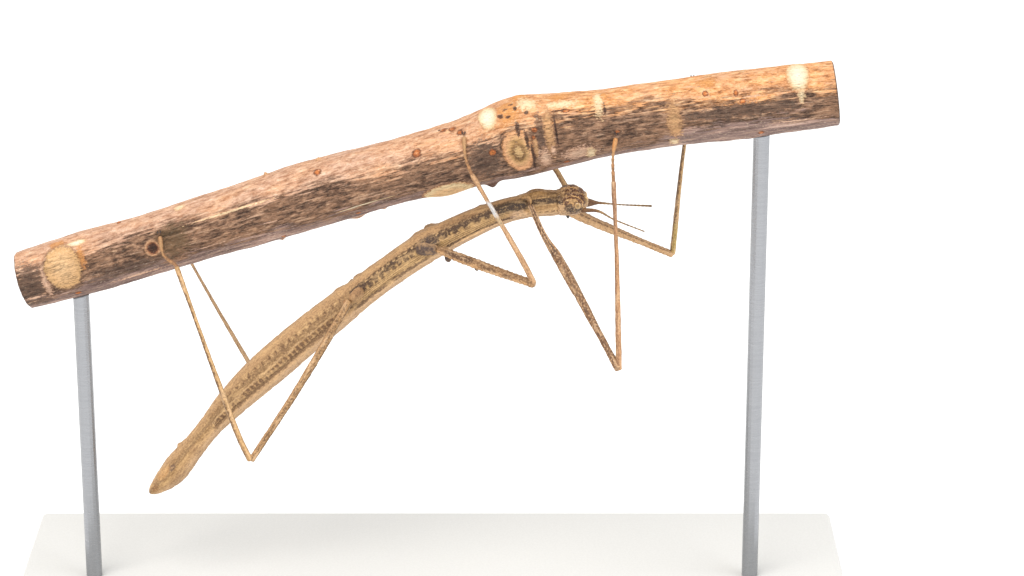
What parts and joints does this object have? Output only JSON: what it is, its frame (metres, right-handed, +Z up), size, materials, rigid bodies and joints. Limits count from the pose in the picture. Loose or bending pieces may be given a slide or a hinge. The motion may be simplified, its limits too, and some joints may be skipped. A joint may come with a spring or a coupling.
{
  "type": "stick insect model on a branch perch",
  "caption": "Life-size still model of a stick insect hanging belly up under a cut length of branch, held on two rods above a flat display base.",
  "frame": {"origin": "middle of the base's underside", "axes": "+X towards the insect's head and along the base's length, +Y towards the insect's right side, +Z up"},
  "size_m": [0.156, 0.06, 0.109],
  "materials": {
    "cuticle": "dry matt cuticle, mottled tan and dark brown in bands along the body, rings on the legs",
    "eye": "glossy pale yellowish eye with a darker middle",
    "claw": "dark brown horn, half gloss",
    "bark": "dry bark: peach tan above, purple brown streaks in the middle, pinkish grey below, orange lenticels and pale scars",
    "base": "off-white satin board with softened edges",
    "rod": "fine brushed steel rod"
  },
  "bodies": {
    "root": {"perch": "bark", "stand_base": "base", "stand_rod_left": "rod", "stand_rod_right": "rod", "tail_end": "cuticle", "abdomen_rear": "cuticle", "abdomen_middle": "cuticle", "abdomen_front": "cuticle", "metathorax": "cuticle", "mesothorax": "cuticle", "prothorax": "cuticle", "head": "cuticle", "eye_left": "eye", "eye_right": "eye", "horn_left": "claw", "horn_right": "claw", "antenna_left": "cuticle", "antenna_right": "cuticle", "coxa_front_left": "cuticle", "femur_front_left": "cuticle", "tibia_front_left": "cuticle", "tarsus_front_left": "cuticle", "claws_front_left": "claw", "coxa_front_right": "cuticle", "femur_front_right": "cuticle", "tibia_front_right": "cuticle", "tarsus_front_right": "cuticle", "claws_front_right": "claw", "coxa_middle_left": "cuticle", "femur_middle_left": "cuticle", "tibia_middle_left": "cuticle", "tarsus_middle_left": "cuticle", "claws_middle_left": "claw", "coxa_middle_right": "cuticle", "femur_middle_right": "cuticle", "tibia_middle_right": "cuticle", "tarsus_middle_right": "cuticle", "claws_middle_right": "claw", "coxa_hind_left": "cuticle", "femur_hind_left": "cuticle", "tibia_hind_left": "cuticle", "tarsus_hind_left": "cuticle", "claws_hind_left": "claw", "coxa_hind_right": "cuticle", "femur_hind_right": "cuticle", "tibia_hind_right": "cuticle", "tarsus_hind_right": "cuticle", "claws_hind_right": "claw"}
  },
  "joints": []
}
